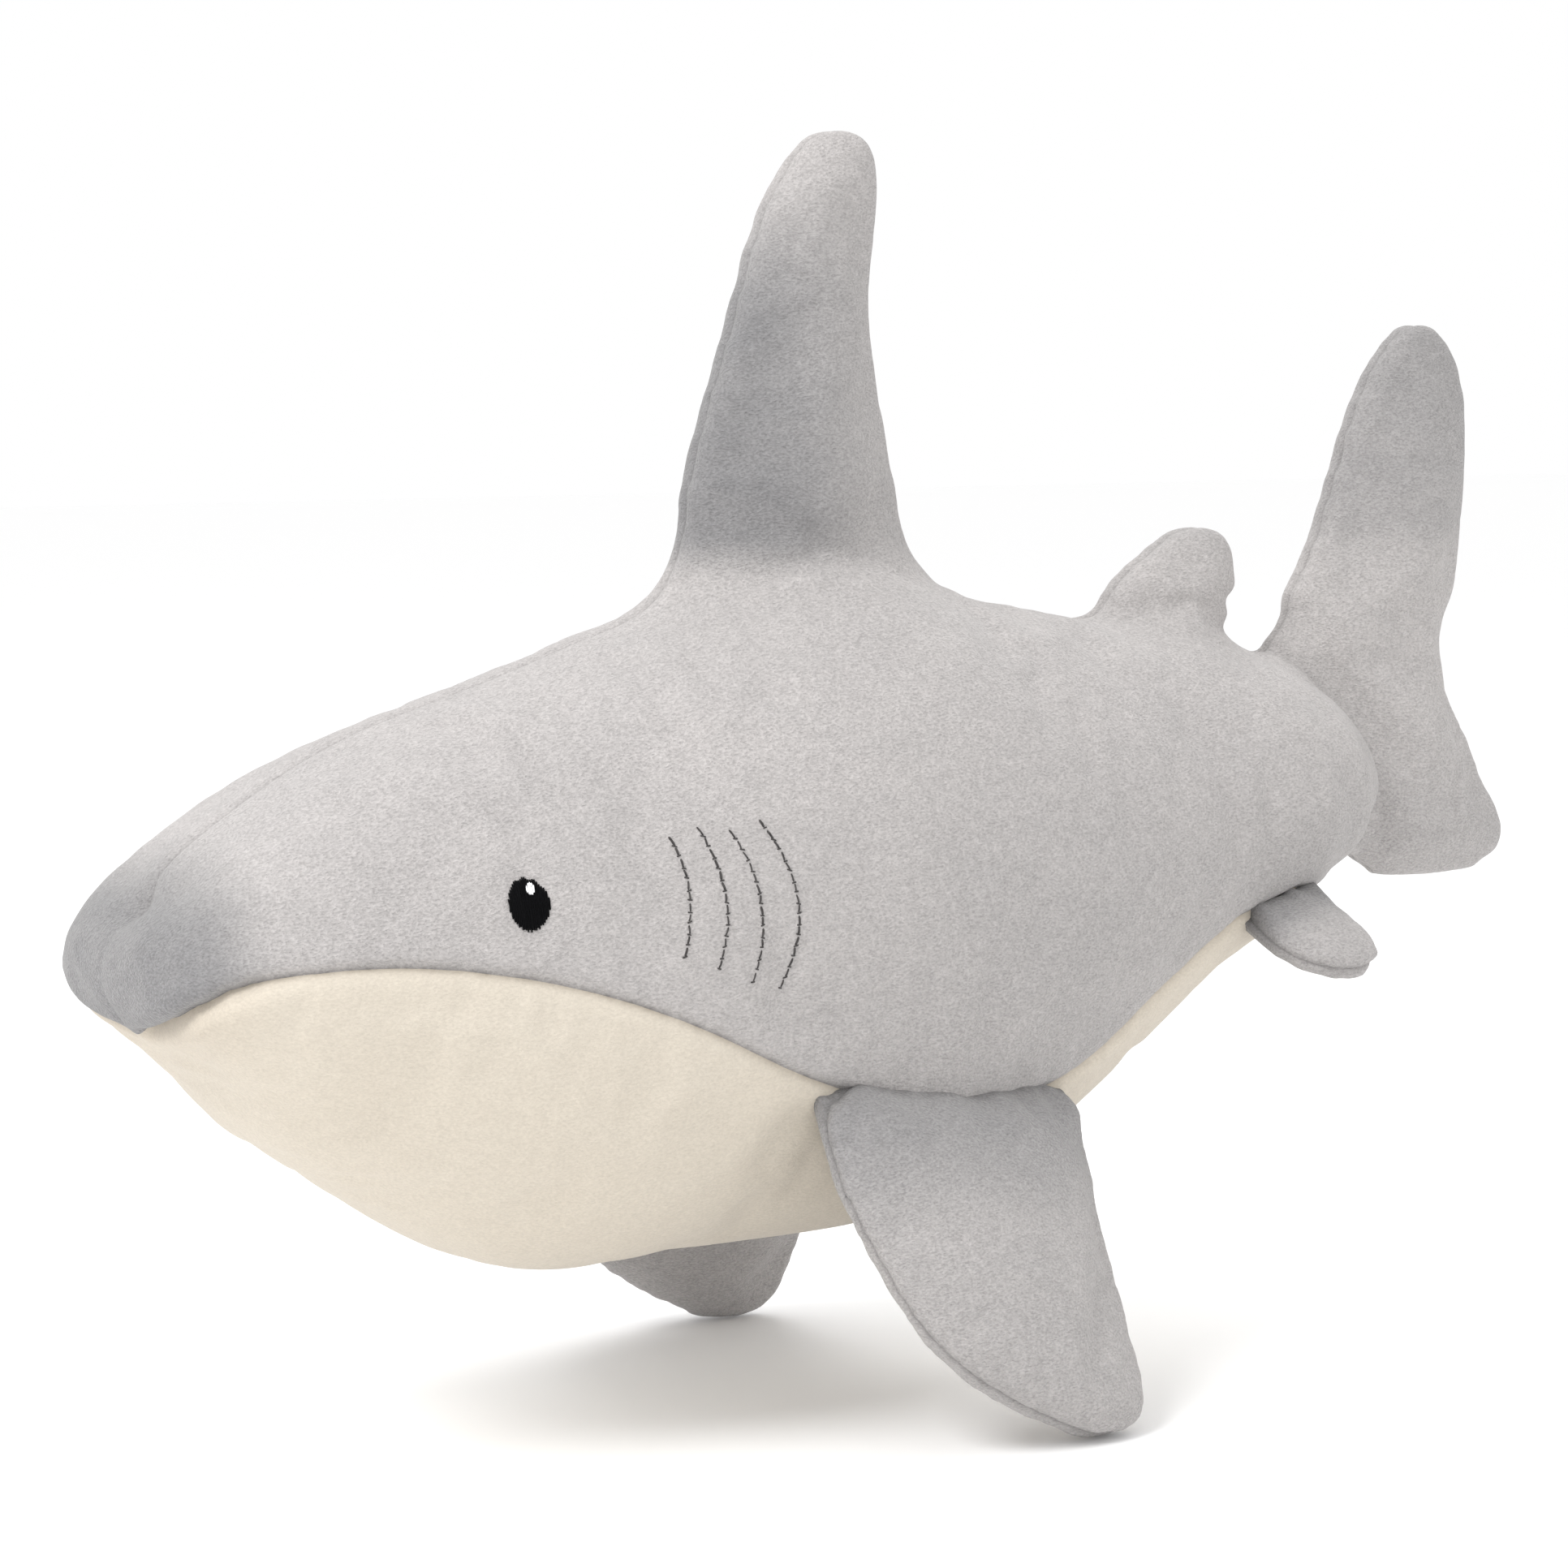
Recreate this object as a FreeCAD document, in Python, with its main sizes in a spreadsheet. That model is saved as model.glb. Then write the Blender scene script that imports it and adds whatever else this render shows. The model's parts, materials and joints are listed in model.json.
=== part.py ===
import FreeCAD, Part
import math
import os
import Sketcher
from FreeCAD import Placement, Rotation, Vector

# A stuffed plush shark: a fat sewn body with two back fins, a swinging tail fin, a pair of long
# pectoral fins and a pair of small pelvic fins. Nose towards -X, tail towards +X, the shark's
# left side towards -Y, +Z up. The origin is on the ground under the middle of the shark, which
# stands on the tips of its pectoral fins. Everything is mirrored about the plane Y = 0.

doc = FreeCAD.newDocument("plush_shark")
dims = doc.addObject("Spreadsheet::Sheet", "dims")

# ---------------------------------------------------------------------------------------------
# Driving dimensions, in millimetres and degrees
# ---------------------------------------------------------------------------------------------

SINGLE_SIZES = [
    ("cloth_thickness", 1.5),
    ("stuffing_gap", 0.3),
    ("belly_depth", 110),
    ("half_space", 400),
    ("eye_place", -136.2),
    ("eye_level", 141.7),
    ("eye_half_width", 5.1),
    ("eye_half_height", 6.3),
    ("eye_half_bulge", 1.1),
    ("eye_sink", 0.2),
    ("glint_half_width", 1.1),
    ("glint_half_height", 1.6),
    ("glint_half_bulge", 0.7),
    ("glint_back", 1.2),
    ("glint_up", 3.2),
    ("gill_thread_radius", 0.7),
    ("swing_gap", 3.5),
    # the front and rear ends of the left pectoral fin's seam, and where its tip hangs
    ("pectoral_front_along", -60.7),
    ("pectoral_front_side", -55.8),
    ("pectoral_front_level", 94.5),
    ("pectoral_rear_along", 37.3),
    ("pectoral_rear_side", -39.8),
    ("pectoral_rear_level", 84.7),
    ("pectoral_tip_along", 12.7),
    ("pectoral_tip_side", -86.5),
    ("pectoral_tip_level", 4),
    # the same for the left pelvic fin
    ("pelvic_front_along", 91),
    ("pelvic_front_side", -39),
    ("pelvic_front_level", 118),
    ("pelvic_rear_along", 126),
    ("pelvic_rear_side", -30.5),
    ("pelvic_rear_level", 124.5),
    ("pelvic_tip_along", 116),
    ("pelvic_tip_side", -56),
    ("pelvic_tip_level", 108),
]

# Body: each section is an ellipse across the body. (name, place along X, half width, top, bottom)
BODY_SECTIONS = [
    ("nose_end", -223.5, 10, 130, 121),
    ("nose_bulb", -218.5, 27, 137, 114),
    ("snout_front", -208, 40, 148.5, 103.5),
    ("snout", -190, 48, 161, 89),
    ("jaw", -167, 52, 174, 73.5),
    ("head", -117, 58.5, 190.5, 46),
    ("chest", -63.5, 61.5, 207.5, 45),
    ("belly", -6, 59.5, 212.5, 45.5),
    ("flank", 48, 52, 203, 64.5),
    ("rear", 97.5, 44.5, 194.5, 98),
    ("tail_neck", 122, 42.5, 189, 112),
    ("stub", 138, 38, 181, 123),
    ("stub_round", 150, 29.5, 171.5, 132.5),
    ("stub_end", 158, 14, 157.5, 142),
]

# Upright fins: each section is a flat ellipse at one level. (name, level, front, back, half thickness)
DORSAL_SECTIONS = [
    ("dorsal_root", 190, -85, 33, 14),
    ("dorsal_foot", 205, -73.5, 26.5, 13.5),
    ("dorsal_low", 220, -62.5, 13, 12.5),
    ("dorsal_waist", 243, -54.8, 3.3, 11.5),
    ("dorsal_mid", 262, -48.6, -0.7, 10.5),
    ("dorsal_high", 280, -42.4, -3.5, 9.5),
    ("dorsal_neck", 300, -36, -2, 8.5),
    ("dorsal_shoulder", 314, -28.7, -0.6, 7.5),
    ("dorsal_crown", 322, -22.4, -1.9, 6),
    ("dorsal_tip", 327, -15.5, -6, 3.8),
]
REAR_DORSAL_SECTIONS = [
    ("rear_dorsal_root", 185, 68, 119, 9),
    ("rear_dorsal_foot", 200, 73, 119.5, 8.5),
    ("rear_dorsal_mid", 209.5, 83, 121, 7.5),
    ("rear_dorsal_high", 217, 94, 119.5, 6),
    ("rear_dorsal_tip", 222.5, 104, 114, 3.8),
]
TAIL_SECTIONS = [
    ("tail_low_edge", 123.5, 178, 213, 3.8),
    ("tail_low_round", 128, 168, 221, 5.5),
    ("tail_low_lobe", 134, 162.8, 223.3, 7.5),
    ("tail_low_neck", 146, 161, 214.5, 9.5),
    ("tail_root", 158, 160.4, 207.5, 11),
    ("tail_root_top", 166, 155.8, 202.5, 11.5),
    ("tail_notch", 176, 149, 197.5, 11),
    ("tail_shoulder", 188, 138.5, 198.5, 10),
    ("tail_sweep", 208, 146.3, 202, 9.5),
    ("tail_high", 240, 160, 205.3, 8),
    ("tail_high_neck", 266, 172, 202.5, 6),
    ("tail_crown", 275, 180, 196.5, 4.5),
    ("tail_tip", 278, 184.5, 192, 3.5),
]

# Hanging fins, in the fin's own frame, which has X along the seam and the seam at level 0:
# (name, level, front, back, half thickness)
PECTORAL_SECTIONS = [
    ("pectoral_end", -96.25, 67.5, 79, 3.8),
    ("pectoral_bulb", -94, 59.5, 85.5, 5.5),
    ("pectoral_low", -88.5, 47, 89.8, 7.3),
    ("pectoral_wide", -78, 29.5, 90.8, 9),
    ("pectoral_mid", -65, 17.4, 91.4, 10),
    ("pectoral_high", -48.5, 9.5, 92, 10.5),
    ("pectoral_neck", -33.5, 4.5, 93, 10),
    ("pectoral_shoulder", -20, 2.4, 95, 9),
    ("pectoral_seam", -10, 1, 97.5, 6.5),
    ("pectoral_root", -1, 0, 99.5, 4),
]
PELVIC_SECTIONS = [
    ("pelvic_end", -29.5, 20, 28, 3.4),
    ("pelvic_round", -27, 14.5, 31.5, 4.6),
    ("pelvic_low", -22.5, 9, 34, 5.5),
    ("pelvic_mid", -15.5, 5, 35.5, 6),
    ("pelvic_seam", -8, 2, 36.5, 5.5),
    ("pelvic_root", -1, 0, 37, 4),
]

FIN_SECTIONS = DORSAL_SECTIONS + REAR_DORSAL_SECTIONS + TAIL_SECTIONS + PECTORAL_SECTIONS + PELVIC_SECTIONS

# The seam between the grey back and the cream belly, seen from the side. It rises under the nose,
# so that the whole tip of the nose is grey, and then runs back. (place, level)
BELLY_SEAM = [
    (-208, 88),
    (-212, 105),
    (-215, 114),
    (-213, 121),
    (-206, 126),
    (-194, 128.5),
    (-168, 128.8),
    (-128, 122),
    (-88, 107.5),
    (-60.7, 94.5),
    (-15, 81),
    (20, 80),
    (37.3, 84.7),
    (64, 102),
    (91, 118),
    (106, 125.5),
    (126, 124.5),
    (175, 127),
]

# Gill stitches, front to back: (place of the top end and of the bottom end, level of the top end
# and of the bottom end, bow towards the tail)
GILLS = [
    (-98.2, -98, 155.4, 127.3, 3.1),
    (-90.7, -88.5, 157.4, 123.5, 3.9),
    (-83, -78.8, 156.3, 119.9, 5),
    (-74.8, -69.9, 158.2, 117.4, 6.6),
]

SIDE = "left"
OTHER_SIDE = "right"


def fill_sheet():
    """Write every driving dimension to the sheet, one aliased cell each."""
    rows = list(SINGLE_SIZES)
    for name, place, half_width, top, bottom in BODY_SECTIONS:
        rows += [
            (name + "_place", place),
            (name + "_half_width", half_width),
            (name + "_top", top),
            (name + "_bottom", bottom),
        ]
    for name, level, front, back, half_thickness in FIN_SECTIONS:
        rows += [
            (name + "_level", level),
            (name + "_front", front),
            (name + "_back", back),
            (name + "_half_thickness", half_thickness),
        ]
    for number, (place, level) in enumerate(BELLY_SEAM):
        rows += [
            (f"seam_point_{number}_place", place),
            (f"seam_point_{number}_level", level),
        ]
    for number, (top_place, bottom_place, top, bottom, bow) in enumerate(GILLS, start=1):
        rows += [
            (f"gill_{number}_top_place", top_place),
            (f"gill_{number}_bottom_place", bottom_place),
            (f"gill_{number}_top", top),
            (f"gill_{number}_bottom", bottom),
            (f"gill_{number}_bow", bow),
        ]
    for row, (alias, value) in enumerate(rows, start=1):
        dims.set(f"A{row}", alias.replace("_", " "))
        dims.set(f"B{row}", str(value))
        dims.setAlias(f"B{row}", alias)
    doc.recompute()


def size(alias):
    return float(getattr(dims, alias))


def value_of(expression):
    """The present value of an expression that names cells of the sheet."""
    return float(dims.evalExpression(expression))


# ---------------------------------------------------------------------------------------------
# Lofts through elliptical sections
# ---------------------------------------------------------------------------------------------


def origin_plane(body, role):
    return [feature for feature in body.Origin.OriginFeatures if feature.Role == role][0]


def ellipse_sketch(body, name, plane, place, centre_x, centre_y, half_x, half_y):
    """An ellipse on one of the body's origin planes, moved along the plane's normal by place.

    Every size is an expression; centre_x or centre_y is None where the centre lies on an axis.
    """
    sketch = body.newObject("Sketcher::SketchObject", name)
    sketch.AttachmentSupport = [(origin_plane(body, plane), "")]
    sketch.MapMode = "FlatFace"
    sketch.setExpression("AttachmentOffset.Base.z", place)
    middle = Vector(
        value_of(centre_x) if centre_x else 0,
        value_of(centre_y) if centre_y else 0,
        0,
    )
    across = value_of(half_x)
    upward = value_of(half_y)
    if across >= upward:
        ellipse = Part.Ellipse(middle + Vector(across, 0, 0), middle + Vector(0, upward, 0), middle)
        major, minor, lie = half_x, half_y, "Horizontal"
    else:
        ellipse = Part.Ellipse(middle + Vector(0, upward, 0), middle + Vector(-across, 0, 0), middle)
        major, minor, lie = half_y, half_x, "Vertical"
    curve = sketch.addGeometry(ellipse, False)
    sketch.exposeInternalGeometry(curve)
    major_axis = curve + 1
    minor_axis = curve + 2
    sketch.addConstraint(Sketcher.Constraint(lie, major_axis))

    def bind(kind, expression, *where):
        number = sketch.addConstraint(Sketcher.Constraint(kind, *where, value_of(expression)))
        sketch.setExpression(f"Constraints[{number}]", expression)

    bind("Distance", f"2 * ({major})", major_axis)
    bind("Distance", f"2 * ({minor})", minor_axis)
    centre_point = (curve, 3)
    if centre_x:
        bind("DistanceX", centre_x, -1, 1, *centre_point)
    else:
        sketch.addConstraint(Sketcher.Constraint("PointOnObject", *centre_point, -2))
    if centre_y:
        bind("DistanceY", centre_y, -1, 1, *centre_point)
    else:
        sketch.addConstraint(Sketcher.Constraint("PointOnObject", *centre_point, -1))
    return sketch


def loft(label, plane, sections, inset, placement=Placement()):
    """A PartDesign body lofted through elliptical sections, drawn in by inset all round.

    sections: (name, place, centre_x, centre_y, half_x, half_y), all expressions.
    """
    body = doc.addObject("PartDesign::Body", label)
    sketches = []
    last = len(sections) - 1
    for number, (name, place, centre_x, centre_y, half_x, half_y) in enumerate(sections):
        if number == 0:
            place = f"{place} + {inset}"
        if number == last:
            place = f"{place} - {inset}"
        sketches.append(
            ellipse_sketch(
                body,
                f"{label}_{name}",
                plane,
                place,
                centre_x,
                centre_y,
                f"{half_x} - {inset}",
                f"{half_y} - {inset}",
            )
        )
    skin = body.newObject("PartDesign::AdditiveLoft", label + "_loft")
    skin.Profile = sketches[0]
    skin.Sections = [(sketch, "") for sketch in sketches[1:]]
    skin.Ruled = False
    body.Tip = skin
    body.Placement = placement
    return body


def body_sections():
    rows = []
    for name, *_ in BODY_SECTIONS:
        top = f"dims.{name}_top"
        bottom = f"dims.{name}_bottom"
        rows.append(
            (
                name,
                f"dims.{name}_place",
                None,
                f"({top} + {bottom}) / 2",
                f"dims.{name}_half_width",
                f"({top} - {bottom}) / 2",
            )
        )
    return rows


def fin_sections(table):
    rows = []
    for name, *_ in table:
        front = f"dims.{name}_front"
        back = f"dims.{name}_back"
        rows.append(
            (
                name,
                f"dims.{name}_level",
                f"({front} + {back}) / 2",
                None,
                f"({back} - {front}) / 2",
                f"dims.{name}_half_thickness",
            )
        )
    return rows


SKIN = "0 * dims.cloth_thickness"
CAVITY = "dims.cloth_thickness"
STUFFING = "(dims.cloth_thickness + dims.stuffing_gap)"
KEEP_OUT = "(-dims.swing_gap)"


# ---------------------------------------------------------------------------------------------
# Booleans
# ---------------------------------------------------------------------------------------------


def cut(label, base, tool):
    piece = doc.addObject("Part::Cut", label)
    piece.Base = base
    piece.Tool = tool
    return piece


def common(label, base, tool):
    piece = doc.addObject("Part::Common", label)
    piece.Base = base
    piece.Tool = tool
    return piece


def fuse(label, shapes):
    piece = doc.addObject("Part::MultiFuse", label)
    piece.Shapes = shapes
    return piece


def mirror(label, source):
    """The same piece on the shark's other side."""
    piece = doc.addObject("Part::Mirroring", label)
    piece.Source = source
    piece.Base = Vector(0, 0, 0)
    piece.Normal = Vector(0, 1, 0)
    return piece


def half_space(label, placement):
    """A large box that fills the side Y < 0 of a frame."""
    box = doc.addObject("Part::Box", label)
    box.setExpression("Length", "2 * dims.half_space")
    box.setExpression("Width", "dims.half_space")
    box.setExpression("Height", "2 * dims.half_space")
    reach = size("half_space")
    box.Placement = placement.multiply(Placement(Vector(-reach, -reach, -reach), Rotation()))
    return box


# ---------------------------------------------------------------------------------------------
# Body: two side panels, a belly panel and the stuffing
# ---------------------------------------------------------------------------------------------


def belly_zone():
    """The region below the belly seam, right across the body."""
    body = doc.addObject("PartDesign::Body", "belly_zone")
    sketch = body.newObject("Sketcher::SketchObject", "belly_zone_outline")
    sketch.AttachmentSupport = [(origin_plane(body, "XZ_Plane"), "")]
    sketch.MapMode = "FlatFace"
    points = []
    for number in range(len(BELLY_SEAM)):
        place = size(f"seam_point_{number}_place")
        level = size(f"seam_point_{number}_level")
        points.append(Vector(place, level, 0))
    seam = Part.BSplineCurve()
    seam.interpolate(points)
    low_front = Vector(points[0].x, points[0].y - size("belly_depth"), 0)
    low_back = Vector(points[-1].x, low_front.y, 0)
    sketch.addGeometry(seam, False)
    sketch.addGeometry(Part.LineSegment(points[-1], low_back), False)
    sketch.addGeometry(Part.LineSegment(low_back, low_front), False)
    sketch.addGeometry(Part.LineSegment(low_front, points[0]), False)
    for number in range(sketch.GeometryCount):
        sketch.addConstraint(Sketcher.Constraint("Block", number))
    pad = body.newObject("PartDesign::Pad", "belly_zone_pad")
    pad.Profile = sketch
    pad.Midplane = True
    pad.setExpression("Length", "dims.half_space")
    body.Tip = pad
    return body


def whole_body(label, inset):
    """Body, dorsal fin and rear dorsal fin as one shape, drawn in by inset."""
    return fuse(
        label,
        [
            loft(label + "_trunk", "YZ_Plane", body_sections(), inset),
            loft(label + "_dorsal", "XY_Plane", fin_sections(DORSAL_SECTIONS), inset),
            loft(label + "_rear_dorsal", "XY_Plane", fin_sections(REAR_DORSAL_SECTIONS), inset),
        ],
    )


def side_point(shape, place, level):
    """The point on the left side of a shape at one place and level, and the outward normal there."""
    ray = Part.makeLine(
        Vector(place, -size("half_space"), level),
        Vector(place, 0, level),
    )
    hits = [vertex.Point for edge in ray.common(shape).Edges for vertex in edge.Vertexes]
    point = min(hits, key=lambda hit: hit.y)
    _, _, faces = shape.distToShape(Part.Vertex(point))
    face = shape.Faces[[info[1] for info in faces if info[0] == "Face"][0]]
    normal = face.normalAt(*face.Surface.parameter(point))
    if normal.y > 0:
        normal = -normal
    return point, normal


def ellipsoid(label, prefix, point, normal, sink):
    """A lens lying on the body's side, its short axis along the normal."""
    lens = doc.addObject("Part::Ellipsoid", label)
    lens.setExpression("Radius1", f"dims.{prefix}_half_bulge")
    lens.setExpression("Radius2", f"dims.{prefix}_half_width")
    lens.setExpression("Radius3", f"dims.{prefix}_half_height")
    upward = (Vector(0, 0, 1) - normal * normal.z).normalize()
    along = upward.cross(normal)
    lens.Placement = Placement(point - normal * sink, Rotation(along, upward, normal, "ZXY"))
    return lens


def gill_thread(number, shape):
    """One bowed gill stitch, half sunk in the cloth: a length of torus through three points."""
    top_place = size(f"gill_{number}_top_place")
    bottom_place = size(f"gill_{number}_bottom_place")
    top = size(f"gill_{number}_top")
    bottom = size(f"gill_{number}_bottom")
    bow = size(f"gill_{number}_bow")
    upper, _ = side_point(shape, top_place, top)
    middle, _ = side_point(shape, (top_place + bottom_place) / 2 + bow, (top + bottom) / 2)
    lower, _ = side_point(shape, bottom_place, bottom)
    arc = Part.Arc(upper, middle, lower).toShape()
    circle = arc.Curve
    thread = doc.addObject("Part::Torus", f"gill_stitch_{SIDE}_{number}")
    thread.Radius1 = circle.Radius
    thread.setExpression("Radius2", "dims.gill_thread_radius")
    thread.Angle3 = math.degrees(arc.LastParameter - arc.FirstParameter)
    outward = (arc.valueAt(arc.FirstParameter) - circle.Center).normalize()
    across = circle.Axis.cross(outward)
    thread.Placement = Placement(circle.Center, Rotation(outward, across, circle.Axis, "ZXY"))
    return thread


def build_body():
    outer = whole_body("skin_outside", SKIN)
    cavity = whole_body("skin_inside", CAVITY)
    stuffing = whole_body("body_stuffing", STUFFING)
    shell = cut("skin", outer, cavity)
    zone = belly_zone()
    doc.recompute()

    eye_point, eye_normal = side_point(outer.Shape, size("eye_place"), size("eye_level"))
    eye_pad = ellipsoid("eye_pad", "eye", eye_point, eye_normal, size("eye_sink"))
    glint_point, glint_normal = side_point(
        outer.Shape,
        size("eye_place") + size("glint_back"),
        size("eye_level") + size("glint_up"),
    )
    glint = ellipsoid(f"eye_glint_{SIDE}", "glint", glint_point, glint_normal, -size("eye_half_bulge") / 2)
    eye = cut(f"eye_{SIDE}", eye_pad, glint)
    threads = [gill_thread(number, outer.Shape) for number in range(1, len(GILLS) + 1)]

    upper_skin = cut("upper_skin", shell, zone)
    left_half = half_space("left_half", Placement())
    left_skin = common("left_skin", upper_skin, left_half)
    sewn_on = fuse("sewn_on", [eye_pad] + threads)
    side_panel = cut(f"side_panel_{SIDE}", left_skin, sewn_on)
    belly_panel = common("belly_panel", shell, zone)

    pieces = [belly_panel, stuffing]
    for piece in [side_panel, eye, glint] + threads:
        pieces += [piece, mirror(piece.Name.replace(SIDE, OTHER_SIDE), piece)]
    return pieces


# ---------------------------------------------------------------------------------------------
# Fins that move: two panels and their stuffing each
# ---------------------------------------------------------------------------------------------


def fin_layers(name, table, placement):
    """A fin's outside, the cavity in it and the stuffing in that, as three shapes."""
    sections = fin_sections(table)
    outer = loft(name + "_outside", "XY_Plane", sections, SKIN, placement)
    cavity = loft(name + "_inside", "XY_Plane", sections, CAVITY, placement)
    stuffing = loft(name + "_stuffing", "XY_Plane", sections, STUFFING, placement)
    return outer, cavity, stuffing


def fin_panels(name, skin, placement, near_panel, far_panel):
    """The two panels of a fin's skin, which meet on the fin's own plane Y = 0."""
    side = half_space(name + "_half", placement)
    return [
        common(f"{name}_{near_panel}", skin, side),
        cut(f"{name}_{far_panel}", skin, side),
    ]


def sheet_point(name):
    return Vector(size(name + "_along"), size(name + "_side"), size(name + "_level"))


def fin_frame(name):
    """The frame of a hanging fin: X along its seam, -Z from the seam down to the tip."""
    front = sheet_point(name + "_front")
    along = (sheet_point(name + "_rear") - front).normalize()
    hang = sheet_point(name + "_tip") - front
    upward = (along * hang.dot(along) - hang).normalize()
    across = upward.cross(along)
    return Placement(front, Rotation(along, across, upward, "ZXY"))


def build_tail():
    """The tail fin: its cloth, both sides in one piece, and its stuffing."""
    outer, cavity, stuffing = fin_layers("tail", TAIL_SECTIONS, Placement())
    return [cut("tail_skin", outer, cavity), stuffing]


def build_hanging_fins():
    """The pectoral and pelvic fins, whose root edges stop short of the body so that they can swing."""
    body_room = loft("body_room", "YZ_Plane", body_sections(), KEEP_OUT)
    pieces = []
    for fin, table in (("pectoral", PECTORAL_SECTIONS), ("pelvic", PELVIC_SECTIONS)):
        placement = fin_frame(fin)
        outer, cavity, whole_stuffing = fin_layers(f"{fin}_whole", table, placement)
        skin = cut(f"{fin}_skin", cut(f"{fin}_whole_skin", outer, cavity), body_room)
        stuffing = cut(f"{fin}_{SIDE}_stuffing", whole_stuffing, body_room)
        panels = fin_panels(f"{fin}_{SIDE}", skin, placement, "outer_panel", "inner_panel")
        for piece in panels + [stuffing]:
            pieces += [piece, mirror(piece.Name.replace(SIDE, OTHER_SIDE), piece)]
    return pieces


# ---------------------------------------------------------------------------------------------
# Build, check and write
# ---------------------------------------------------------------------------------------------


def check(pieces):
    for item in doc.Objects:
        if "Invalid" in item.State or "Error" in item.State:
            raise RuntimeError(f"{item.Name} is {item.State}")
    for piece in pieces:
        if piece.Shape.isNull() or not piece.Shape.isValid():
            raise RuntimeError(f"{piece.Name} has no valid shape")
        if len(piece.Shape.Solids) != 1:
            raise RuntimeError(f"{piece.Name} has {len(piece.Shape.Solids)} solids")


fill_sheet()
PIECES = build_body() + build_tail() + build_hanging_fins()
doc.recompute()
check(PIECES)

os.makedirs("parts", exist_ok=True)
for sub_part in PIECES:
    sub_part.Label = sub_part.Name
    sub_part.Shape.exportStep(f"parts/{sub_part.Label}.step")

whole = Part.makeCompound([sub_part.Shape for sub_part in PIECES]).optimalBoundingBox()
print(f"{len(PIECES)} sub-parts")
print(f"X {whole.XMin:.2f} to {whole.XMax:.2f}")
print(f"Y {whole.YMin:.2f} to {whole.YMax:.2f}")
print(f"Z {whole.ZMin:.2f} to {whole.ZMax:.2f}")
for name in ("pectoral", "pelvic"):
    frame = fin_frame(name)
    seam = frame.Rotation.multVec(Vector(1, 0, 0))
    print(f"{name} seam from {sheet_point(name + '_front')} along {seam}")
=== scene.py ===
import json
import math

import bmesh
import bpy
import numpy as np
from mathutils import Matrix, Vector, noise
from mathutils.bvhtree import BVHTree
from mathutils.kdtree import KDTree


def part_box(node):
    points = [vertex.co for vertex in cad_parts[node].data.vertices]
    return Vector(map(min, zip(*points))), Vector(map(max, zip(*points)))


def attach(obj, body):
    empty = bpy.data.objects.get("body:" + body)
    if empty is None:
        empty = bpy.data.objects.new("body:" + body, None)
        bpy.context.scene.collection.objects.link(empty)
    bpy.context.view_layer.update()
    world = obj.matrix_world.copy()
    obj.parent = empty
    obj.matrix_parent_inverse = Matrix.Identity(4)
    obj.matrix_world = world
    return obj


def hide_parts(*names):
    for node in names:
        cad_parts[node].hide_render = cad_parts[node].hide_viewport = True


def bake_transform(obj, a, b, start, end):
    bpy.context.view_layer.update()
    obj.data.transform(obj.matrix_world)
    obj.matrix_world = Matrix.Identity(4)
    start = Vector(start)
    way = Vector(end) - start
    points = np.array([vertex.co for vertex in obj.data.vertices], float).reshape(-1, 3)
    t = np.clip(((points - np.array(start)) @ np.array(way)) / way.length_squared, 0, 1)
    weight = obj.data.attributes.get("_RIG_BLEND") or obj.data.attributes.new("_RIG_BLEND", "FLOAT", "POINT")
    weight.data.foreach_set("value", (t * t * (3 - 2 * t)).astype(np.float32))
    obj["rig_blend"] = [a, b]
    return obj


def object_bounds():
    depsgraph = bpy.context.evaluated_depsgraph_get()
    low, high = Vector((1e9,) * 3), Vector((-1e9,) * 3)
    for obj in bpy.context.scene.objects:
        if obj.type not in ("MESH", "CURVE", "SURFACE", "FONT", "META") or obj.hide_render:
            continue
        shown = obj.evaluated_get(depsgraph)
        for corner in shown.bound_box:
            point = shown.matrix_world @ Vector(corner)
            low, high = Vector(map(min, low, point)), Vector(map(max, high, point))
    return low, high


# The looks of a stuffed plush shark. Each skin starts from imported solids, is blown up as cloth
# with its seams held, and is then parted along its seams into separate panels.

MM = 0.001
# how near a cut a point counts as being on it
ON_SEAM = 0.001 * MM
# the two steps of each round of smoothing
SHRINK, SWELL = 0.5, -0.52

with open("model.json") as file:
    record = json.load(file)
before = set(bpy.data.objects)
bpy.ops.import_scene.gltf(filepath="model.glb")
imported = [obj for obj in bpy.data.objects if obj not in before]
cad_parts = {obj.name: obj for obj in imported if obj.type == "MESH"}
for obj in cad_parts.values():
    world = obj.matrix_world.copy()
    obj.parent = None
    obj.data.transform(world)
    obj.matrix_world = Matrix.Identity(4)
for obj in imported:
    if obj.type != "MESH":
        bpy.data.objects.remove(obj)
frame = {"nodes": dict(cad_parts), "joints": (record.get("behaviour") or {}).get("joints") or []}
CAD_LOW, CAD_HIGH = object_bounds()
JOINTS = {joint["name"]: joint for joint in frame["joints"]}
SIDES = {"left": -1, "right": 1}


# ---------------------------------------------------------------------------------------------
# Mesh tools
# ---------------------------------------------------------------------------------------------


def points_of(mesh):
    flat = np.empty(len(mesh.vertices) * 3)
    mesh.vertices.foreach_get("co", flat)
    return flat.reshape(-1, 3)


def set_points(mesh, points):
    mesh.vertices.foreach_set("co", points.ravel())
    mesh.update()


def edges_of(mesh):
    flat = np.empty(len(mesh.edges) * 2, dtype=np.int64)
    mesh.edges.foreach_get("vertices", flat)
    return flat.reshape(-1, 2)


def normals_of(mesh):
    flat = np.empty(len(mesh.vertices) * 3)
    mesh.vertex_normals.foreach_get("vector", flat)
    return flat.reshape(-1, 3)


def smoothstep(value, low, high):
    share = np.clip((value - low) / (high - low), 0, 1)
    return share * share * (3 - 2 * share)


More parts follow.
